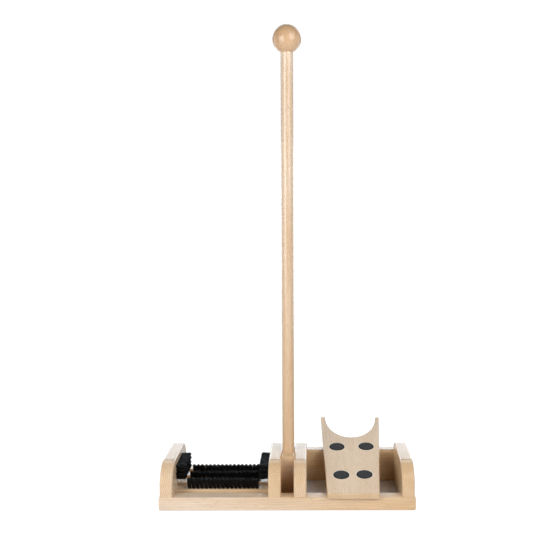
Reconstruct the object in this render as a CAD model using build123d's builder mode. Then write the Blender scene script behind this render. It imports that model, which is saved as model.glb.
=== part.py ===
from build123d import *
import math
import os

os.makedirs("parts", exist_ok=True)

# Wooden boot cleaner: a slatted beech base with a brush bay on the left, a boot jack lying in the
# bay on the right, and a tall holding pole with a ball knob between them.
# Millimetres. X runs to the right, Y to the back, Z up. The origin is the centre of the base's
# footprint on the floor.

# ---- driving dimensions -------------------------------------------------------------------------
base_width = 500.0
base_depth = 212.0
board_thickness = 25.0

rail_height = 26.0
rail_depth = 30.0
rail_rounding = 2.5

cheek_height = 87.5
cheek_corner = 48.0
cheek_rounding = 4.0
cheek_inset = 1.8
block_length = 72.0
block_height = 86.0
block_rounding = 2.0

slat_depth = 28.0
slat_gap = 17.0
slat_thickness = 20.0
slat_rounding = 2.5

rest_board_height = 40.5
rest_board_thickness = 28.0
rest_board_front_rounding = 6.0
rest_board_back_rounding = 3.0

pole_diameter = 24.5
tenon_diameter = 16.0
foot_tenon_length = 45.0
knob_tenon_length = 30.0
tenon_chamfer = 1.0
knob_width = 56.5
knob_tallness = 58.0
knob_flat_diameter = 25.5
knob_height = 917.4

jack_length = 327.0
jack_thickness = 12.0
jack_front_width = 101.0
jack_back_width = 132.4
jack_overhang = 9.0
jack_skew = 1.1
jack_shift = -1.9
jack_rounding = 2.0
jack_corner = 3.0
horn_corner = 2.0
heel_notch_half_width = 56.2
heel_notch_aside = 0.6
heel_notch_depth = 96.0
rest_gap = 0.3

pad_diameter = 32.0
pad_thickness = 3.0
pad_edge = 0.6
pad_recess_depth = 2.0
pad_recess_clearance = 0.5
front_pads_along = 73.0
rear_pads_along = 189.0
front_pad_spacing = 46.5
rear_pad_spacing = 62.0
pads_aside = 0.5
left_pads_forward = 2.0

tuft_root_diameter = 5.0
tuft_tip_diameter = 7.8
tuft_length = 20.0
tuft_pitch = 8.4
tuft_stagger = 3.4
floor_tuft_lines = 2
floor_tufts_per_line = 17
floor_line_spacing = 7.5
floor_tufts_setback = -2.5
side_tuft_lines = 4
side_tufts_per_line = 11
side_line_spacing = 8.2
side_tufts_height = 59.0
side_tufts_setback = -7.0

dowel_clearance = 0.05
slat_dowel_diameter = 6.0
slat_dowel_length = 30.0
slat_dowel_spacing = 12.0
block_dowel_diameter = 8.0
block_dowel_length = 55.0
block_dowel_spacing = 48.0
lock_dowel_height = 62.0
low_dowel_height = 30.0

screw_shank_radius = 2.2
screw_head_radius = 4.2
screw_tip_length = 6.0
screw_drive_radius = 1.5
screw_drive_depth = 1.2
screw_length = 48.0
screw_sink = 0.6
screw_clearance = 0.05

# ---- places worked out from them ----------------------------------------------------------------
front_y = -base_depth / 2
back_y = base_depth / 2
rail_centre_y = back_y - rail_depth / 2
cheek_front_y = front_y + cheek_inset

end_cheek_outer_x = base_width / 2 - cheek_inset
end_cheek_inner_x = end_cheek_outer_x - board_thickness
middle_cheek_inner_x = board_thickness / 2
middle_cheek_outer_x = middle_cheek_inner_x + board_thickness
bay_width = end_cheek_inner_x - middle_cheek_outer_x
bay_centre_x = (end_cheek_inner_x + middle_cheek_outer_x) / 2

slat_pitch = slat_depth + slat_gap
slat_bottom = rail_height - slat_thickness
slat_middle_z = rail_height - slat_thickness / 2
slat_centres = {"front": -slat_pitch, "middle": 0.0, "back": slat_pitch}

rest_board_front_y = back_y - rail_depth
rest_board_top = rail_height + rest_board_height

dowel_hole_radius = slat_dowel_diameter / 2 + dowel_clearance
block_dowel_hole_radius = block_dowel_diameter / 2 + dowel_clearance
slat_dowel_depth = slat_dowel_length / 2
cheek_dowel_depth = (block_dowel_length - board_thickness) / 2

# Each cheek's name and the X of its left face.
cheeks = {
    "left_end_cheek": -end_cheek_outer_x,
    "left_middle_cheek": -middle_cheek_outer_x,
    "right_middle_cheek": middle_cheek_inner_x,
    "right_end_cheek": end_cheek_inner_x,
}
cheek_centres = [left + board_thickness / 2 for left in cheeks.values()]
rest_board_screw_xs = [bay_centre_x - bay_width / 4, bay_centre_x + bay_width / 4]


def save(piece, label):
    """Name a finished piece and write its STEP file."""
    piece.part.label = label
    export_step(piece.part, f"parts/{label}.step")


# ---- rails --------------------------------------------------------------------------------------
# Two full-width rails lie under the cheeks. Countersunk screws come up through them. The back rail's
# inner upper edge stays sharp, because the rest board's face runs on above it.
def screw_spots(side, xs):
    """Where screws enter a rail's underside; side is -1 for the front rail and 1 for the back."""
    return [(x, side * rail_centre_y) for x in xs]


front_screw_spots = screw_spots(-1, cheek_centres)
back_screw_spots = screw_spots(1, cheek_centres)
rest_board_screw_spots = screw_spots(1, rest_board_screw_xs)
rails = {
    "front_rail": (-1, front_screw_spots),
    "back_rail": (1, back_screw_spots + rest_board_screw_spots),
}

for label, (side, spots) in rails.items():
    with BuildPart() as rail:
        with BuildSketch(Plane.XY):
            with Locations((0, side * rail_centre_y)):
                Rectangle(base_width, rail_depth)
        extrude(amount=rail_height)
        seam = rail.edges().filter_by(Axis.X).group_by(Axis.Z)[-1].sort_by(Axis.Y)[0]
        rounded = [edge for edge in rail.edges() if side == -1 or edge != seam]
        fillet(rounded, radius=rail_rounding)
        with Locations([Location((x, y, 0), (180, 0, 0)) for x, y in spots]):
            CounterSinkHole(
                radius=screw_shank_radius + screw_clearance,
                counter_sink_radius=screw_head_radius + screw_sink,
                depth=rail_height,
                counter_sink_angle=90,
            )
    save(rail, label)


# ---- cheeks -------------------------------------------------------------------------------------
# Four identical upright boards with large quarter-round corners, notched over both rails.
screw_grip = screw_length + screw_sink - rail_height

for label, left_x in cheeks.items():
    with BuildPart() as cheek:
        with BuildSketch(Plane.YZ.offset(left_x)) as outline:
            Rectangle(-2 * cheek_front_y, cheek_height, align=(Align.CENTER, Align.MIN))
            fillet(outline.vertices().group_by(Axis.Y)[-1], radius=cheek_corner)
            with Locations((front_y, 0), (back_y, 0)):
                Rectangle(2 * rail_depth, rail_height, align=(Align.CENTER, Align.MIN), mode=Mode.SUBTRACT)
        extrude(amount=board_thickness)
        upper_edges = cheek.edges().filter_by_position(Axis.Z, rail_height + 1, cheek_height + 1)
        fillet(upper_edges.filter_by(Axis.X, reverse=True), radius=cheek_rounding)
        with BuildSketch(Plane.XY.offset(rail_height)):
            with Locations(*[(left_x + board_thickness / 2, s * rail_centre_y) for s in (-1, 1)]):
                Circle(screw_shank_radius + screw_clearance)
        extrude(amount=screw_grip, mode=Mode.SUBTRACT)
        if label.startswith("left"):
            faces_slats = 1 if label == "left_end_cheek" else -1
            face_x = -end_cheek_inner_x if faces_slats == 1 else -middle_cheek_outer_x
            with BuildSketch(Plane.YZ.offset(face_x)):
                for slat_y in slat_centres.values():
                    with Locations((slat_y, slat_middle_z)):
                        with GridLocations(slat_dowel_spacing, 1, 2, 1):
                            Circle(dowel_hole_radius)
            extrude(amount=-faces_slats * slat_dowel_depth, mode=Mode.SUBTRACT)
        if "middle" in label:
            faces_block = 1 if label == "left_middle_cheek" else -1
            with BuildSketch(Plane.YZ.offset(-faces_block * middle_cheek_inner_x)):
                with Locations((0, lock_dowel_height)):
                    Circle(block_dowel_hole_radius)
                with Locations((0, low_dowel_height)):
                    with GridLocations(block_dowel_spacing, 1, 2, 1):
                        Circle(block_dowel_hole_radius)
            extrude(amount=-faces_block * cheek_dowel_depth, mode=Mode.SUBTRACT)
    save(cheek, label)


# ---- brush slats and the dowels in their ends ---------------------------------------------------
for place, slat_y in slat_centres.items():
    with BuildPart() as slat:
        with BuildSketch(Plane.XY.offset(slat_bottom)):
            with Locations((-bay_centre_x, slat_y)):
                Rectangle(bay_width, slat_depth)
        extrude(amount=slat_thickness)
        fillet(slat.edges().filter_by(Axis.X), radius=slat_rounding)
        for end in (-1, 1):
            end_plane = Plane.YZ.offset(-bay_centre_x + end * bay_width / 2)
            with BuildSketch(end_plane):
                with Locations((slat_y, slat_middle_z)):
                    with GridLocations(slat_dowel_spacing, 1, 2, 1):
                        Circle(dowel_hole_radius)
            extrude(amount=-end * slat_dowel_depth, mode=Mode.SUBTRACT)
    save(slat, f"{place}_brush_slat")

with BuildPart() as slat_dowels:
    for slat_y in slat_centres.values():
        for joint_x in (-end_cheek_inner_x, -middle_cheek_outer_x):
            with BuildSketch(Plane.YZ.offset(joint_x - slat_dowel_length / 2)):
                with Locations((slat_y, slat_middle_z)):
                    with GridLocations(slat_dowel_spacing, 1, 2, 1):
                        Circle(slat_dowel_diameter / 2)
            extrude(amount=slat_dowel_length)
save(slat_dowels, "slat_dowels")


# ---- pole block between the middle cheeks, with its dowels --------------------------------------
with BuildPart() as pole_block:
    with BuildSketch(Plane.XY):
        Rectangle(board_thickness, block_length)
    extrude(amount=block_height)
    fillet(pole_block.faces().sort_by(Axis.Z)[-1].edges(), radius=block_rounding)
    with BuildSketch(Plane.XY.offset(block_height)):
        Circle(tenon_diameter / 2 + dowel_clearance)
    extrude(amount=-foot_tenon_length, mode=Mode.SUBTRACT)
    with BuildSketch(Plane.YZ.offset(-middle_cheek_inner_x)):
        with Locations((0, lock_dowel_height)):
            Circle(block_dowel_hole_radius)
        with Locations((0, low_dowel_height)):
            with GridLocations(block_dowel_spacing, 1, 2, 1):
                Circle(block_dowel_hole_radius)
    extrude(amount=board_thickness, mode=Mode.SUBTRACT)
save(pole_block, "pole_block")

with BuildPart() as block_dowels:
    with BuildSketch(Plane.YZ.offset(-block_dowel_length / 2)):
        with Locations((0, low_dowel_height)):
            with GridLocations(block_dowel_spacing, 1, 2, 1):
                Circle(block_dowel_diameter / 2)
    extrude(amount=block_dowel_length)
save(block_dowels, "block_dowels")

# One more dowel crosses the pole's tenon and locks it in the block.
with BuildPart() as pole_lock_dowel:
    with BuildSketch(Plane.YZ.offset(-block_dowel_length / 2)):
        with Locations((0, lock_dowel_height)):
            Circle(block_dowel_diameter / 2)
    extrude(amount=block_dowel_length)
save(pole_lock_dowel, "pole_lock_dowel")


# ---- pole and its ball knob ---------------------------------------------------------------------
# The knob is turned a little taller than wide, and its flat sits on the pole's end.
knob_flat_drop = knob_tallness / 2 * math.sqrt(1 - (knob_flat_diameter / knob_width) ** 2)
knob_flat_z = knob_height - knob_flat_drop

with BuildPart() as pole:
    with BuildSketch(Plane.XY.offset(block_height)):
        Circle(pole_diameter / 2)
    extrude(amount=knob_flat_z - block_height)
    with BuildSketch(Plane.XY.offset(block_height - foot_tenon_length)):
        Circle(tenon_diameter / 2)
    extrude(amount=foot_tenon_length)
    with BuildSketch(Plane.XY.offset(knob_flat_z)):
        Circle(tenon_diameter / 2)
    extrude(amount=knob_tenon_length)
    chamfer(pole.faces().sort_by(Axis.Z)[-1].edges(), length=tenon_chamfer)
    chamfer(pole.faces().sort_by(Axis.Z)[0].edges(), length=tenon_chamfer)
    with BuildSketch(Plane.YZ.offset(-pole_diameter / 2)):
        with Locations((0, lock_dowel_height)):
            Circle(block_dowel_hole_radius)
    extrude(amount=pole_diameter, mode=Mode.SUBTRACT)
save(pole, "pole")

with BuildPart() as ball_knob:
    with BuildSketch(Plane.XZ):
        with Locations((0, knob_height)):
            Ellipse(knob_width / 2, knob_tallness / 2)
        with Locations((-knob_width / 2, knob_height)):
            Rectangle(knob_width, 2 * knob_tallness, mode=Mode.SUBTRACT)
    revolve(axis=Axis.Z)
    split(bisect_by=Plane.XY.offset(knob_flat_z), keep=Keep.TOP)
    with BuildSketch(Plane.XY.offset(knob_flat_z)):
        Circle(tenon_diameter / 2 + dowel_clearance)
    extrude(amount=knob_tenon_length + 2 * tenon_chamfer, mode=Mode.SUBTRACT)
save(ball_knob, "ball_knob")


# ---- rest board that holds up the back of the boot jack -----------------------------------------
with BuildPart() as jack_rest_board:
    with BuildSketch(Plane.XY.offset(rail_height)):
        with Locations((bay_centre_x, rest_board_front_y + rest_board_thickness / 2)):
            Rectangle(bay_width, rest_board_thickness)
    extrude(amount=rest_board_height)
    top_edges = jack_rest_board.faces().sort_by(Axis.Z)[-1].edges().filter_by(Axis.X).sort_by(Axis.Y)
    fillet(top_edges[0], radius=rest_board_front_rounding)
    fillet(top_edges[-1], radius=rest_board_back_rounding)
    with BuildSketch(Plane.XY.offset(rail_height)):
        with Locations(*rest_board_screw_spots):
            Circle(screw_shank_radius + screw_clearance)
    extrude(amount=screw_grip, mode=Mode.SUBTRACT)
save(jack_rest_board, "jack_rest_board")


# ---- wood screws --------------------------------------------------------------------------------
# Countersunk wood screws stand point-up from just inside the rails' undersides.
screw_head_length = screw_head_radius - screw_shank_radius

with BuildPart() as screw:
    with BuildSketch(Plane.XZ):
        with BuildLine():
            Polyline(
                (0, screw_sink),
                (screw_head_radius - screw_clearance, screw_sink),
                (screw_shank_radius - screw_clearance, screw_sink + screw_head_length),
                (screw_shank_radius - screw_clearance, screw_sink + screw_length - screw_tip_length),
                (0, screw_sink + screw_length),
                close=True,
            )
        make_face()
    revolve(axis=Axis.Z)
    with BuildSketch(Plane.XY.offset(screw_sink)):
        RegularPolygon(radius=screw_drive_radius, side_count=6)
    extrude(amount=screw_drive_depth, mode=Mode.SUBTRACT)

screw_groups = {
    "rail_screws": front_screw_spots + back_screw_spots,
    "rest_board_screws": rest_board_screw_spots,
}
for label, spots in screw_groups.items():
    with BuildPart() as screws:
        with Locations(*[(x, y, 0) for x, y in spots]):
            add(screw.part)
    save(screws, label)


# ---- boot jack ----------------------------------------------------------------------------------
# The jack lies loose on two rounded edges: the front rail's and the rest board's. Its underside is
# the line that touches both roundings, held off by the rest gap.
rise = (rest_board_top - rest_board_front_rounding) - (rail_height - rail_rounding)
run = (rest_board_front_y + rest_board_front_rounding) - (front_y + rail_rounding)
tilt = math.atan2(rise, run) + math.asin((rest_board_front_rounding - rail_rounding) / math.hypot(rise, run))

jack_front_y = front_y - jack_overhang + jack_thickness * math.sin(tilt)
line_level = (rail_height - rail_rounding) * math.cos(tilt) - (front_y + rail_rounding) * math.sin(tilt)
jack_front_z = (line_level + rail_rounding + rest_gap + jack_front_y * math.sin(tilt)) / math.cos(tilt)

# Local X runs across the jack, local Y from its front end to its horns, local Z out of its top.
jack_plane = Plane(
    origin=(bay_centre_x + jack_shift, jack_front_y, jack_front_z),
    x_dir=(1, 0, 0),
    z_dir=(0, -math.sin(tilt), math.cos(tilt)),
).rotated((0, 0, -jack_skew))
jack_top = jack_plane.offset(jack_thickness)
jack_up = Axis(jack_plane.origin, jack_plane.z_dir)

# The pads are set in by hand, the left pair slightly nearer the front.
pad_spots = {
    "front_left_jack_pad": (pads_aside - front_pad_spacing / 2, front_pads_along - left_pads_forward),
    "front_right_jack_pad": (pads_aside + front_pad_spacing / 2, front_pads_along),
    "rear_left_jack_pad": (pads_aside - rear_pad_spacing / 2, rear_pads_along - left_pads_forward),
    "rear_right_jack_pad": (pads_aside + rear_pad_spacing / 2, rear_pads_along),
}

with BuildPart() as jack_board:
    with BuildSketch(jack_plane) as outline:
        with BuildLine():
            Polyline(
                (-jack_front_width / 2, 0),
                (jack_front_width / 2, 0),
                (jack_back_width / 2, jack_length),
                (-jack_back_width / 2, jack_length),
                close=True,
            )
        make_face()
        with Locations((heel_notch_aside, jack_length)):
            Ellipse(heel_notch_half_width, heel_notch_depth, mode=Mode.SUBTRACT)
        fillet(outline.vertices().group_by(Axis.Y)[0], radius=jack_corner)
        fillet(outline.vertices().group_by(Axis.Y)[-1], radius=horn_corner)
    extrude(amount=jack_thickness)
    rims = jack_board.faces().sort_by(jack_up)
    fillet(rims[0].edges() + rims[-1].edges(), radius=jack_rounding)
    with BuildSketch(jack_top):
        with Locations(*pad_spots.values()):
            Circle(pad_diameter / 2 + pad_recess_clearance)
    extrude(amount=-pad_recess_depth, mode=Mode.SUBTRACT)
save(jack_board, "jack_board")

# Round rubber pads lie in the recesses and stand a little proud of the jack's top.
for label, spot in pad_spots.items():
    with BuildPart() as pad:
        with BuildSketch(jack_top.offset(-pad_recess_depth)):
            with Locations(spot):
                Circle(pad_diameter / 2)
        extrude(amount=pad_thickness)
        fillet(pad.faces().sort_by(jack_up)[-1].edges(), radius=pad_edge)
    save(pad, label)


# ---- bristles -----------------------------------------------------------------------------------
# Tufts stand in staggered lines. Each brush is given by its outer shape: slightly flared tufts,
# joined through the middle by the mass of filaments between them.
def stagger(line):
    """How far along its line a tuft is moved; every second line is moved the other way."""
    return tuft_stagger / 2 if line % 2 == 0 else -tuft_stagger / 2


def brush(lines, line_spacing, tufts_per_line):
    """A brush that stands along the local Z of the current location, its lines along local X."""
    Box(
        (tufts_per_line - 1) * tuft_pitch,
        (lines - 1) * line_spacing,
        tuft_length,
        align=(Align.CENTER, Align.CENTER, Align.MIN),
    )
    for line in range(lines):
        with Locations((stagger(line), (line - (lines - 1) / 2) * line_spacing, 0)):
            with GridLocations(tuft_pitch, 1, tufts_per_line, 1):
                Cone(
                    bottom_radius=tuft_root_diameter / 2,
                    top_radius=tuft_tip_diameter / 2,
                    height=tuft_length,
                    align=(Align.CENTER, Align.CENTER, Align.MIN),
                )


for place, slat_y in slat_centres.items():
    with BuildPart() as floor_bristles:
        with Locations((-bay_centre_x, slat_y + floor_tufts_setback, rail_height)):
            brush(floor_tuft_lines, floor_line_spacing, floor_tufts_per_line)
    save(floor_bristles, f"{place}_floor_bristles")

# The side brushes stand on the cheeks and point inwards, with their lines running front to back.
side_brush_planes = {
    "left_side_bristles": Plane((-end_cheek_inner_x, 0, 0), x_dir=(0, 1, 0), z_dir=(1, 0, 0)),
    "right_side_bristles": Plane((-middle_cheek_outer_x, 0, 0), x_dir=(0, -1, 0), z_dir=(-1, 0, 0)),
}
for label, face_plane in side_brush_planes.items():
    setback = side_tufts_setback * face_plane.x_dir.Y
    with BuildPart(face_plane) as side_bristles:
        with Locations((setback, side_tufts_height)):
            brush(side_tuft_lines, side_line_spacing, side_tufts_per_line)
    save(side_bristles, label)
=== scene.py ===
import math
import random

import bmesh
import bpy
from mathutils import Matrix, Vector


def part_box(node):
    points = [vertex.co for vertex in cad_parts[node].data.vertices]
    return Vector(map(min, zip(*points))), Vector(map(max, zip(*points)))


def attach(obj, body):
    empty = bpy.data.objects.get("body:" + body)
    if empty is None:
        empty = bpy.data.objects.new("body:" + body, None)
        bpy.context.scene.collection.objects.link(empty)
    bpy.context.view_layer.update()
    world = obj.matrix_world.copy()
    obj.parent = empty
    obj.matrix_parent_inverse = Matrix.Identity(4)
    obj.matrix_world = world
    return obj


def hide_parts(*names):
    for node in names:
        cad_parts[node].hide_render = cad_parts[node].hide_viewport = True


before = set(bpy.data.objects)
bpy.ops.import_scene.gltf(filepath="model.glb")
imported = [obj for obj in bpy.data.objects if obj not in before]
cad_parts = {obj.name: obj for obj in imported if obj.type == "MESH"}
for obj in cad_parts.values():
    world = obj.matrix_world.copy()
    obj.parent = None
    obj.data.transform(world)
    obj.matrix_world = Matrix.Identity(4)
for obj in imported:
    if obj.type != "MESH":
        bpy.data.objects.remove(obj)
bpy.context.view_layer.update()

# Looks of the boot cleaner: beech boards and turned beech under satin lacquer, brushes of black
# filaments, rubber pads and zinc-plated screws. Metres, in the CAD frame: X right, Y back, Z up.

# ---- camera and lights --------------------------------------------------------------------------
CAMERA_PLACE = (0.0471, -1.8035, 0.6174)
CAMERA_PITCH = math.radians(4.773)
CAMERA_ROLL = 0.00195
CAMERA_LENS = 60.627
CAMERA_SHIFT = -0.08324

AMBIENT_COLOUR = (0.97, 0.98, 1.0)
AMBIENT_STRENGTH = 0.03
LAMP_COLOUR = (0.98, 0.985, 1.0)
BACK_COLOUR = (0.80, 0.90, 1.0)

# ---- surroundings -------------------------------------------------------------------------------
FLOOR_RADIUS = 4.0
STAGE_RADIUS = 7.0
FLOOR_DROP = 0.0004
SWEEP_DROP = 0.0002
SWEEP_INSET = 0.0025

# ---- wood ---------------------------------------------------------------------------------------
# Tones are pairs: light, dark. PAD_RIM_HIGHLIGHT_TONE is a painted highlight: a cream ring round each of
# the jack's pads, where the rounded edge of its recess catches the light.
RING_SPACING = 0.0040
RING_WANDER = 0.022
RING_SHIVER = 0.0022
RING_DEPTH = 0.34
JACK_RING_DEPTH = 0.2
END_GRAIN_DEPTH = 0.42
END_GRAIN_PALENESS = 0.15
END_GRAIN_ROUGHNESS = 0.10
FIBRE_RELIEF = 0.00005
CLOUD_DEPTH = 0.35
BOARD_TONES = ((0.770, 0.550, 0.330), (0.670, 0.410, 0.200))
POLE_TONES = ((0.720, 0.500, 0.310), (0.620, 0.385, 0.200))
KNOB_TONES = ((0.690, 0.455, 0.265), (0.580, 0.335, 0.165))
# PALE_AND_SHEEN is the colour the wood fades towards. Where a piece is evenly light it is the wood's own
# lighter tone; where the colour fades along a piece it is painted sheen.
PALE_AND_SHEEN = (0.870, 0.740, 0.600)
FLECK = (0.420, 0.220, 0.095)
FLECK_DEPTH = 0.4
PAD_RIM_HIGHLIGHT_TONE = (0.930, 0.780, 0.540)
PAD_RIM_HIGHLIGHT_WIDTH = 0.0023
PAD_RIM_HIGHLIGHT_STRENGTH = 0.9
LACQUER_IOR = 1.52
POLISH_IOR = 1.62
BOARD_GLOSS = 0.2
POLE_GLOSS = 0.25
KNOB_GLOSS = 0.29
ALONG_X = (0, math.pi / 2, 0)
ALONG_Y = (-math.pi / 2, 0, 0)
ALONG_Z = (0, 0, 0)

# ---- rubber, steel and floor --------------------------------------------------------------------
RUBBER_TONES = ((0.026, 0.025, 0.026), (0.036, 0.035, 0.036))
RUBBER_EDGE = (0.016, 0.016, 0.019)
ZINC_TONES = ((0.66, 0.66, 0.64), (0.42, 0.41, 0.38))
FLOOR_TONES = ((0.84, 0.84, 0.84), (0.86, 0.86, 0.86))

# ---- brushes ------------------------------------------------------------------------------------
BRISTLE_TONES = ((0.002, 0.002, 0.002), (0.006, 0.006, 0.006))
# CUT_END_AND_SHEEN_TONES colour the filaments' cut tips: partly their own lighter grey, partly painted
# sheen of the light that catches the tuft tops.
CUT_END_AND_SHEEN_TONES = ((0.022, 0.022, 0.023), (0.048, 0.048, 0.051))
# TUFT_CROWN is how much lower a tuft's outermost filaments end. FILAMENT_KNEE is the share of its way
# sideways that a filament has gone at half height. FLOOR_TUFTS and SIDE_TUFTS are (tufts in a line,
# lines).
TUFT_ROOT_RADIUS = 0.0028
TUFT_TIP_RADIUS = 0.0039
TUFT_CROWN = 0.0026
TUFT_LEAN = 0.0003
TUFT_STAGGER = 0.0034
FLOOR_TUFTS = (17, 2)
SIDE_TUFTS = (11, 4)
FILAMENTS = 46
FILAMENT_RADIUS = 0.00036
FILAMENT_SIDES = 4
FILAMENT_RAGGED = 0.0006
FILAMENT_KNEE = 0.42


# ---- node trees ---------------------------------------------------------------------------------
class Graph:
    """A material's node tree, built with short calls. A value is a number, a colour or an output."""

    def __init__(self, name):
        self.material = bpy.data.materials.new(name)
        self.material.use_nodes = True
        self.tree = self.material.node_tree
        self.shader = self.tree.nodes["Principled BSDF"]

    @classmethod
    def of(cls, material):
        """The graph of a material that is already made, to add to it."""
        graph = cls.__new__(cls)
        graph.material = material
        graph.tree = material.node_tree
        graph.shader = material.node_tree.nodes["Principled BSDF"]
        return graph

    def put(self, socket, value):
        if isinstance(value, bpy.types.NodeSocket):
            self.tree.links.new(value, socket)
        elif socket.type == "RGBA":
            socket.default_value = (*value, 1)
        else:
            socket.default_value = value

    def add(self, kind, inputs=(), **settings):
        node = self.tree.nodes.new(kind)
        for name, value in settings.items():
            setattr(node, name, value)
        for name, value in dict(inputs).items():
            self.put(node.inputs[name], value)
        return node

    def object_place(self):
        return self.add("ShaderNodeTexCoord").outputs["Object"]

    def math(self, operation, first, second=0.0):
        node = self.add("ShaderNodeMath", operation=operation)
        self.put(node.inputs[0], first)
        self.put(node.inputs[1], second)
        return node.outputs[0]

    def stretched(self, place, scales):
        return self.add("ShaderNodeMapping", {"Vector": place, "Scale": scales}).outputs[0]

    def noise(self, place, scales, detail=2.0, roughness=0.5):
        inputs = {
            "Vector": self.stretched(place, scales),
            "Scale": 1.0,
            "Detail": detail,
            "Roughness": roughness,
        }
        return self.add("ShaderNodeTexNoise", inputs).outputs["Fac"]

    def fit(self, value, low, high, to_low=0.0, to_high=1.0):
        """Smoothly carry a value's range from low..high to to_low..to_high, held at both ends."""
        inputs = {"Value": value, "From Min": low, "From Max": high, "To Min": to_low, "To Max": to_high}
        return self.add("ShaderNodeMapRange", inputs, interpolation_type="SMOOTHSTEP").outputs["Result"]

    def mix(self, factor, first, second, blend="MIX"):
        node = self.add("ShaderNodeMix", data_type="RGBA", blend_type=blend)
        factors, firsts, seconds = (
            [socket for socket in node.inputs if socket.name == name and socket.type == kind][0]
            for name, kind in (("Factor", "VALUE"), ("A", "RGBA"), ("B", "RGBA"))
        )
        self.put(factors, factor)
        self.put(firsts, first)
        self.put(seconds, second)
        return [output for output in node.outputs if output.type == "RGBA"][0]

    def bump(self, height, depth, strength=1.0):
        inputs = {"Height": height, "Distance": depth, "Strength": strength}
        return self.add("ShaderNodeBump", inputs).outputs["Normal"]

    def shade(self, **inputs):
        for name, value in inputs.items():
            self.put(self.shader.inputs[name.replace("_", " ")], value)
        return self.material


# ---- materials ----------------------------------------------------------------------------------
def beech(
    node,
    grain,
    aside,
    tones=BOARD_TONES,
    rings=RING_DEPTH,
    pale_and_sheen=("X", 0.0, 0.0),
    gloss=BOARD_GLOSS,
    coat_ior=LACQUER_IOR,
):
    """Solid beech under satin lacquer for one piece. grain turns the wood's own Z along the fibres.
    aside leads from the piece's middle to the tree's centre line, so that rings and rays run through
    the piece as in real timber. rings says how strongly they show. pale names an axis and how light
    the wood is at its two ends. An even value is the wood's own tone. A fade from one end to the
    other is painted sheen, standing in for a lamp's reflection on that end. gloss is the
    roughness of the lacquer, and coat_ior says how strongly it reflects."""
    light, dark = tones
    g = Graph(f"beech_{node}")
    pith = tuple(middle(node) + Vector(aside))
    turned = {"Vector": g.object_place(), "Location": pith, "Rotation": grain}
    wood = g.add("ShaderNodeMapping", turned, vector_type="TEXTURE").outputs[0]
    across = g.stretched(wood, (1, 1, 0))

    # growth rings: distance from the pith, wandering slowly along the stem
    wander = g.noise(wood, (14, 14, 2.5), detail=1.0)
    shiver = g.noise(wood, (90, 90, 7), detail=1.0)
    radius = g.add("ShaderNodeVectorMath", {0: across}, operation="LENGTH").outputs["Value"]
    bent = g.math("ADD", radius, g.math("MULTIPLY", wander, RING_WANDER))
    bent = g.math("ADD", bent, g.math("MULTIPLY", shiver, RING_SHIVER))
    year = g.math("FRACT", g.math("DIVIDE", bent, RING_SPACING))
    late_wood = g.math("MULTIPLY", g.fit(year, 0.25, 0.88), g.fit(year, 0.99, 0.90))

    # the end faces show the rings more strongly, and are a little paler and rougher
    normal = g.add("ShaderNodeNewGeometry").outputs["Normal"]
    fibre = g.add("ShaderNodeVectorRotate", {"Vector": (0, 0, 1)}, rotation_type="EULER_XYZ")
    g.put(fibre.inputs["Rotation"], grain)
    facing = g.add("ShaderNodeVectorMath", {0: normal, 1: fibre.outputs[0]}, operation="DOT_PRODUCT")
    end_grain = g.fit(g.math("ABSOLUTE", facing.outputs["Value"]), 0.55, 0.9)
    ring_depth = g.math("ADD", g.math("MULTIPLY", end_grain, END_GRAIN_DEPTH), rings)

    # fibres, broad clouds of tint, and the short brown flecks of the medullary rays
    fibres = g.noise(wood, (1500, 1500, 45), detail=3.0, roughness=0.6)
    clouds = g.noise(wood, (28, 28, 5), detail=2.0)
    ray_cells = {"Vector": g.stretched(wood, (420, 420, 95)), "Scale": 1.0, "Randomness": 1.0}
    rays = g.add("ShaderNodeTexVoronoi", ray_cells)
    chosen = g.fit(g.math("FRACT", g.math("MULTIPLY", rays.outputs["Color"], 3.7)), 0.62, 0.80)
    fleck = g.math("MULTIPLY", g.fit(rays.outputs["Distance"], 0.34, 0.16), chosen)

    # pale gives the wood's own tone where it is even, and painted sheen where it fades along the axis
    axis, *paleness_and_sheen = pale_and_sheen
    along = g.add("ShaderNodeSeparateXYZ", {"Vector": g.object_place()}).outputs[axis]
    ends = [corner["XYZ".index(axis)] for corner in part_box(node)]
    bleach_and_sheen = g.fit(along, *ends, *paleness_and_sheen)
    bleach_and_sheen = g.math("ADD", bleach_and_sheen, g.math("MULTIPLY", end_grain, END_GRAIN_PALENESS))
    # the fade towards PALE_AND_SHEEN is the wood's own lighter tone plus painted sheen; the end faces'
    # share is their own lighter colour
    tone_and_sheen = g.mix(bleach_and_sheen, light, PALE_AND_SHEEN)
    colour = g.mix(g.fit(clouds, 0.32, 0.68), tone_and_sheen, g.mix(CLOUD_DEPTH, tone_and_sheen, dark))
    colour = g.mix(g.math("MULTIPLY", late_wood, ring_depth), colour, dark)
    colour = g.mix(g.math("MULTIPLY", fleck, FLECK_DEPTH), colour, FLECK)
    shadow = g.fit(fibres, 0.25, 0.75, 0.88, 1.06)
    grey = g.add("ShaderNodeCombineColor", {"Red": shadow, "Green": shadow, "Blue": shadow}).outputs[0]
    colour = g.mix(1.0, colour, grey, "MULTIPLY")

    rough_ends = g.math("MULTIPLY", end_grain, END_GRAIN_ROUGHNESS)
    rough = g.math("ADD", g.fit(fibres, 0.2, 0.8, 0.38, 0.50), rough_ends)
    grooves = g.math("SUBTRACT", fibres, g.math("MULTIPLY", late_wood, 0.3))
    relief = g.math("SUBTRACT", grooves, g.math("MULTIPLY", fleck, 0.4))
    g.shade(
        Base_Color=colour,
        Roughness=rough,
        Normal=g.bump(relief, FIBRE_RELIEF),
        Specular_IOR_Level=0.0,
        Coat_Weight=1.0,
        Coat_Roughness=gloss,
        Coat_IOR=coat_ior,
    )
    return g.material


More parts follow.
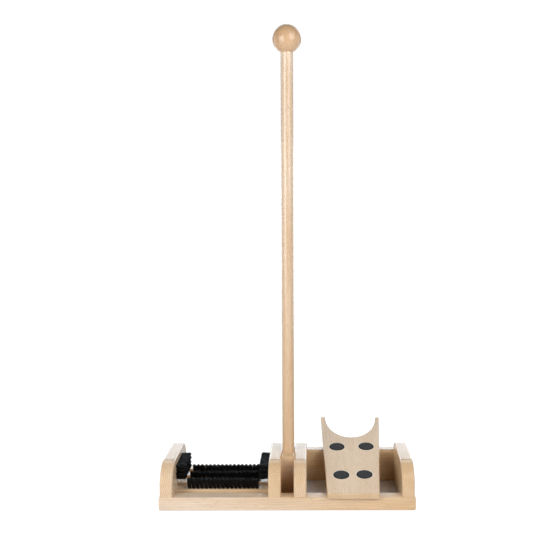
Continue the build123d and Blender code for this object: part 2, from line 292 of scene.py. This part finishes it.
def bristle_plastic(name, tones):
    """Stiff black filament, mottled between two tones."""
    g = Graph(name)
    place = g.object_place()
    mottle = g.noise(place, (900, 900, 900), detail=2.0)
    g.shade(
        Base_Color=g.mix(g.fit(mottle, 0.3, 0.7), *tones),
        Roughness=g.fit(mottle, 0.3, 0.7, 0.34, 0.48),
        Normal=g.bump(mottle, 0.00005, 0.6),
        Specular_IOR_Level=0.25,
    )
    return g.material


def pad_rubber(name, centre, radius):
    """Charcoal rubber with a fine stipple and a darker rim."""
    g = Graph(name)
    place = g.object_place()
    offset = g.add("ShaderNodeVectorMath", {0: place, 1: centre}, operation="SUBTRACT").outputs[0]
    reach = g.add("ShaderNodeVectorMath", {0: offset}, operation="LENGTH").outputs["Value"]
    rim = g.fit(reach, radius * 0.80, radius * 0.95)
    stipple = g.noise(place, (2600, 2600, 2600), detail=2.0)
    cloud = g.noise(place, (160, 160, 160), detail=2.0)
    flat = g.mix(g.fit(cloud, 0.3, 0.7), *RUBBER_TONES)
    g.shade(
        Base_Color=g.mix(rim, flat, RUBBER_EDGE),
        Roughness=g.fit(stipple, 0.3, 0.7, 0.62, 0.80),
        Normal=g.bump(stipple, 0.00012, 0.8),
        Specular_IOR_Level=0.35,
    )
    return g.material


def zinc_steel():
    """Zinc-plated screw steel with turning marks and faint tarnish."""
    g = Graph("zinc_steel")
    place = g.object_place()
    marks = g.noise(place, (400, 400, 3500), detail=2.0)
    tarnish = g.noise(place, (260, 260, 260), detail=3.0)
    g.shade(
        Base_Color=g.mix(g.fit(tarnish, 0.35, 0.7), *ZINC_TONES),
        Metallic=1.0,
        Roughness=g.fit(marks, 0.3, 0.7, 0.24, 0.42),
        Normal=g.bump(marks, 0.00006, 0.6),
    )
    return g.material


def dress(node, material):
    """Give a CAD node its better material."""
    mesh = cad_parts[node].data
    if not mesh.materials:
        mesh.materials.append(material)
    for index in range(len(mesh.materials)):
        mesh.materials[index] = material


def middle(node):
    low, high = (Vector(corner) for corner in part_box(node))
    return (low + high) / 2


# ---- wood on the CAD pieces ---------------------------------------------------------------------
def dress_boards():
    """Every board is cut from another place in the log, which sets how its rings run. An even lightness
    at its left and right is its own tone. A fall from a lighter left end, strongest on the front rail,
    is painted sheen from the left key light."""
    boards = {
        # front_rail: the fall from 1.0 at its left end to 0.0 at its right is painted sheen of the left
        # key light
        "front_rail": (ALONG_X, (0.0, 0.050, -0.075), 1.0, 0.0),
        "back_rail": (ALONG_X, (0.1, -0.060, -0.070), 0.1, 0.0),
        "front_brush_slat": (ALONG_X, (0.0, 0.030, -0.085), 0.2, 0.0),
        "middle_brush_slat": (ALONG_X, (0.0, -0.055, -0.060), 0.0, 0.0),
        "back_brush_slat": (ALONG_X, (0.0, 0.070, -0.040), 0.1, 0.0),
        "jack_rest_board": (ALONG_X, (0.0, 0.080, -0.060), 0.0, 0.0),
        "left_end_cheek": (ALONG_Y, (0.075, 0.0, 0.030), 0.3, 0.3),
        "left_middle_cheek": (ALONG_Y, (0.062, 0.0, -0.062), 0.0, 0.0),
        "right_middle_cheek": (ALONG_Y, (-0.090, 0.0, -0.012), 0.25, 0.25),
        "right_end_cheek": (ALONG_Y, (-0.070, 0.0, 0.055), 0.0, 0.0),
        "pole_block": (ALONG_Y, (0.060, 0.0, -0.060), 0.0, 0.0),
    }
    for node, (grain, aside, *paleness_and_sheen) in boards.items():
        dress(node, beech(node, grain, aside, pale_and_sheen=("X", *paleness_and_sheen)))


def jack_grain():
    """The jack's fibres run along its tilted length."""
    low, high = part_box("jack_board")
    rise, run = high[2] - low[2], high[1] - low[1]
    return (math.atan2(rise, run) - math.pi / 2, 0, 0)


def pads():
    """Every pad of the jack, with its middle and its radius."""
    for node in sorted(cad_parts):
        if node.endswith("_jack_pad"):
            low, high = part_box(node)
            yield node, middle(node), (high[0] - low[0]) / 2


def paint_pad_rim_highlights(material):
    """Paint a cream highlight ring round each pad, where the rounded edge of its recess catches the
    light.
    """
    g = Graph.of(material)
    colour_in = g.shader.inputs["Base Color"]
    colour = colour_in.links[0].from_socket
    for _, centre, radius in pads():
        offset = {0: g.object_place(), 1: tuple(centre)}
        offset = g.add("ShaderNodeVectorMath", offset, operation="SUBTRACT").outputs[0]
        reach = g.add("ShaderNodeVectorMath", {0: offset}, operation="LENGTH").outputs["Value"]
        rim = g.fit(reach, radius + PAD_RIM_HIGHLIGHT_WIDTH, radius + PAD_RIM_HIGHLIGHT_WIDTH * 0.7)
        colour = g.mix(g.math("MULTIPLY", rim, PAD_RIM_HIGHLIGHT_STRENGTH), colour, PAD_RIM_HIGHLIGHT_TONE)
    g.put(colour_in, colour)


def dress_jack_and_pole():
    jack = beech(
        "jack_board", jack_grain(), (0.02, 0.0, -0.16), rings=JACK_RING_DEPTH, pale_and_sheen=("X", 0.05, 0.05)
    )
    # painted highlight rings round the pads' recesses
    paint_pad_rim_highlights(jack)
    dress("jack_board", jack)
    # The pole's fade to a lighter top is painted sheen, standing in for the key lights' reflections on
    # its upper part.
    pole = beech(
        "pole", ALONG_Z, (0.004, 0.055, 0.0), POLE_TONES, pale_and_sheen=("Z", 0.0, 0.6), gloss=POLE_GLOSS
    )
    dress("pole", pole)
    knob = beech(
        "ball_knob", ALONG_Z, (0.03, 0.045, 0.0), KNOB_TONES, gloss=KNOB_GLOSS, coat_ior=POLISH_IOR
    )
    dress("ball_knob", knob)


def dress_small_parts():
    for node in ("slat_dowels", "block_dowels", "pole_lock_dowel"):
        dress(node, beech(node, ALONG_X, (0.0, 0.04, -0.03)))
    steel = zinc_steel()
    for node in ("rail_screws", "rest_board_screws"):
        dress(node, steel)
    for node, centre, radius in pads():
        dress(node, pad_rubber(f"rubber_{node}", tuple(centre), radius))


# ---- brushes ------------------------------------------------------------------------------------
def add_filament(mesh, root, tip, sideways, upward):
    """One closed filament, bent at half height. Its cut end has the mesh's second material."""
    rise = upward.cross(sideways).normalized()
    height = (tip - root).dot(rise)
    halfway = root + rise * (height * 0.5)
    knee = halfway + (tip - root - rise * height) * FILAMENT_KNEE
    loops = []
    for centre, thickness in ((root, 1.0), (knee, 0.95), (tip, 0.8)):
        loop = []
        for side in range(FILAMENT_SIDES):
            angle = 2 * math.pi * side / FILAMENT_SIDES
            offset = sideways * math.cos(angle) + upward * math.sin(angle)
            loop.append(mesh.verts.new(centre + offset * FILAMENT_RADIUS * thickness))
        loops.append(loop)
    for lower, upper in zip(loops, loops[1:]):
        for side in range(FILAMENT_SIDES):
            after = (side + 1) % FILAMENT_SIDES
            mesh.faces.new((lower[side], lower[after], upper[after], upper[side]))
    mesh.faces.new(list(reversed(loops[0])))
    mesh.faces.new(loops[-1]).material_index = 1


def add_tuft(mesh, root, out, length, rng):
    """A bundle of filaments that leaves the wood tight, spreads towards its cut tips and leans a
    little. The filaments in its middle stand highest."""
    across = out.orthogonal().normalized()
    along = out.cross(across)
    golden = math.pi * (3 - math.sqrt(5))
    lean = across * rng.uniform(-TUFT_LEAN, TUFT_LEAN) + along * rng.uniform(-TUFT_LEAN, TUFT_LEAN)
    for count in range(FILAMENTS):
        reach = math.sqrt((count + 0.5) / FILAMENTS)
        angle = count * golden + rng.uniform(-0.25, 0.25)
        aside = across * math.cos(angle) + along * math.sin(angle)
        start = root + aside * reach * (TUFT_ROOT_RADIUS - FILAMENT_RADIUS)
        spread = reach * (TUFT_TIP_RADIUS - FILAMENT_RADIUS) * rng.uniform(0.94, 1.0)
        height = length - TUFT_CROWN * reach**2 - FILAMENT_RAGGED * rng.random() ** 2
        tip = root + aside * spread + lean + out * height
        add_filament(mesh, start, tip, across, along)


def spaced(low, high, count):
    return [low + (high - low) * step / (count - 1) for step in range(count)]


def brush(node, rows, out, layers_axis):
    """Rebuild a brush as real tufts inside its CAD solid. rows is (tufts in a line, lines). The lines
    lie beside each other along layers_axis, and every second line is shifted by the stagger."""
    low, high = (Vector(corner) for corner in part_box(node))
    out = Vector(out)
    out_axis = [abs(part) for part in out].index(1)
    line_axis = 3 - out_axis - layers_axis
    length = high[out_axis] - low[out_axis]
    mesh = bmesh.new()
    rng = random.Random(node)
    lines = spaced(low[layers_axis] + TUFT_TIP_RADIUS, high[layers_axis] - TUFT_TIP_RADIUS, rows[1])
    for index, level in enumerate(lines):
        first = low[line_axis] + TUFT_TIP_RADIUS
        last = high[line_axis] - TUFT_TIP_RADIUS
        shift = TUFT_STAGGER if index % 2 == 0 else 0.0
        for place in spaced(first + shift, last - TUFT_STAGGER + shift, rows[0]):
            root = Vector((0, 0, 0))
            root[out_axis] = low[out_axis] if out[out_axis] > 0 else high[out_axis]
            root[line_axis] = place
            root[layers_axis] = level
            add_tuft(mesh, root, out, length, rng)
    data = bpy.data.meshes.new(node.replace("bristles", "tufts"))
    mesh.to_mesh(data)
    mesh.free()
    return bpy.data.objects.new(data.name, data)


def build_brushes():
    sides = bristle_plastic("bristle_black", BRISTLE_TONES)
    # the cut tips' lighter grey is partly painted sheen on the tuft tops
    cut_ends_and_sheen = bristle_plastic("bristle_cut_ends", CUT_END_AND_SHEEN_TONES)
    brushes = {
        "front_floor_bristles": (FLOOR_TUFTS, (0, 0, 1), 1),
        "middle_floor_bristles": (FLOOR_TUFTS, (0, 0, 1), 1),
        "back_floor_bristles": (FLOOR_TUFTS, (0, 0, 1), 1),
        "left_side_bristles": (SIDE_TUFTS, (1, 0, 0), 2),
        "right_side_bristles": (SIDE_TUFTS, (-1, 0, 0), 2),
    }
    for node, (rows, out, layers_axis) in brushes.items():
        piece = brush(node, rows, out, layers_axis)
        bpy.context.scene.collection.objects.link(piece)
        for material in (sides, cut_ends_and_sheen):
            piece.data.materials.append(material)
        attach(piece, "base")
        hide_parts(node)


# ---- stage --------------------------------------------------------------------------------------
def add_floor():
    """A matt white floor under the whole scene."""
    g = Graph("floor_white")
    grain = g.noise(g.object_place(), (60, 60, 60), detail=3.0)
    g.shade(
        Base_Color=g.mix(g.fit(grain, 0.3, 0.7), *FLOOR_TONES),
        Roughness=0.9,
        Specular_IOR_Level=0.0,
    )
    bpy.ops.mesh.primitive_circle_add(
        vertices=96, radius=FLOOR_RADIUS, fill_type="NGON", location=(0, 0, -FLOOR_DROP)
    )
    floor = bpy.context.object
    floor.name = "floor"
    floor.data.materials.append(g.material)


def show_to_camera_only(thing):
    thing.visible_diffuse = False
    thing.visible_glossy = False
    thing.visible_transmission = False
    thing.visible_shadow = False


def add_backdrop():
    """An evenly bright white sweep: a dome, and the floor all round the base. Only the camera sees them,
    so that they add no light and no reflection."""
    g = Graph("backdrop_white")
    g.shade(Base_Color=(0, 0, 0), Emission_Color=(1, 1, 1), Emission_Strength=1.0)
    bpy.ops.mesh.primitive_uv_sphere_add(segments=64, ring_count=32, radius=STAGE_RADIUS)
    dome = bpy.context.object
    dome.name = "backdrop"

    low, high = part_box("front_rail")[0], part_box("back_rail")[1]
    west, south, east, north = (
        low[0] + SWEEP_INSET,
        low[1] + SWEEP_INSET,
        high[0] - SWEEP_INSET,
        high[1] - SWEEP_INSET,
    )
    mesh = bmesh.new()
    inner = [(west, south), (east, south), (east, north), (west, north)]
    outer = [(x * STAGE_RADIUS, y * STAGE_RADIUS) for x, y in ((-1, -1), (1, -1), (1, 1), (-1, 1))]
    loops = [[mesh.verts.new((x, y, -SWEEP_DROP)) for x, y in loop] for loop in (inner, outer)]
    for side in range(4):
        after = (side + 1) % 4
        mesh.faces.new((loops[0][side], loops[0][after], loops[1][after], loops[1][side]))
    data = bpy.data.meshes.new("sweep")
    mesh.to_mesh(data)
    mesh.free()
    sweep = bpy.data.objects.new("sweep", data)
    bpy.context.scene.collection.objects.link(sweep)

    for thing in (dome, sweep):
        thing.data.materials.append(g.material)
        show_to_camera_only(thing)


def add_world():
    world = bpy.data.worlds.new("studio")
    bpy.context.scene.world = world
    world.use_nodes = True
    background = world.node_tree.nodes["Background"]
    background.inputs["Color"].default_value = (*AMBIENT_COLOUR, 1)
    background.inputs["Strength"].default_value = AMBIENT_STRENGTH


def add_softbox(name, place, target, size, radiance, colour):
    """A rectangular soft light aimed at target. Its power follows from the radiance of its face."""
    light = bpy.data.lights.new(name, "AREA")
    light.shape = "RECTANGLE"
    light.size, light.size_y = size
    light.energy = radiance * math.pi * size[0] * size[1]
    light.color = colour
    lamp = bpy.data.objects.new(name, light)
    lamp.location = place
    lamp.rotation_euler = (Vector(target) - Vector(place)).to_track_quat("-Z", "Y").to_euler()
    lamp.visible_camera = False
    bpy.context.scene.collection.objects.link(lamp)


def add_lights():
    """Two large soft lights in front, two dim ones at the sides, and two behind for the tops' sheen."""
    pole_middle = (0, 0, 0.45)
    add_softbox("key_left", (-1.05, -1.25, 0.76), pole_middle, (0.9, 1.1), 6.3, LAMP_COLOUR)
    add_softbox("key_right", (1.05, -1.15, 1.18), pole_middle, (1.2, 1.3), 4.4, LAMP_COLOUR)
    for name, side in {"rim_left": -1, "rim_right": 1}.items():
        add_softbox(name, (side * 2.0, 0.8, 0.85), (0, 0, 0.55), (1.3, 1.5), 1.2, BACK_COLOUR)
    add_softbox("back_sheen", (0, 2.3, 0.415), (0, 0, 0.415), (3.6, 0.83), 3.2, BACK_COLOUR)
    add_softbox("back_top", (0, 1.6, 1.7), (0, 0, 0.2), (2.2, 1.0), 2.0, BACK_COLOUR)


def add_camera():
    data = bpy.data.cameras.new("camera")
    data.sensor_width = 36
    data.lens = CAMERA_LENS
    data.shift_x = CAMERA_SHIFT
    camera = bpy.data.objects.new("camera", data)
    camera.location = CAMERA_PLACE
    camera.rotation_euler = (math.pi / 2 - CAMERA_PITCH, CAMERA_ROLL, 0)
    bpy.context.scene.collection.objects.link(camera)
    bpy.context.scene.camera = camera


# ---- the scene ----------------------------------------------------------------------------------
dress_boards()
dress_jack_and_pole()
dress_small_parts()
build_brushes()
add_floor()
add_backdrop()
add_world()
add_lights()
add_camera()
bpy.context.scene.view_settings.view_transform = "Standard"
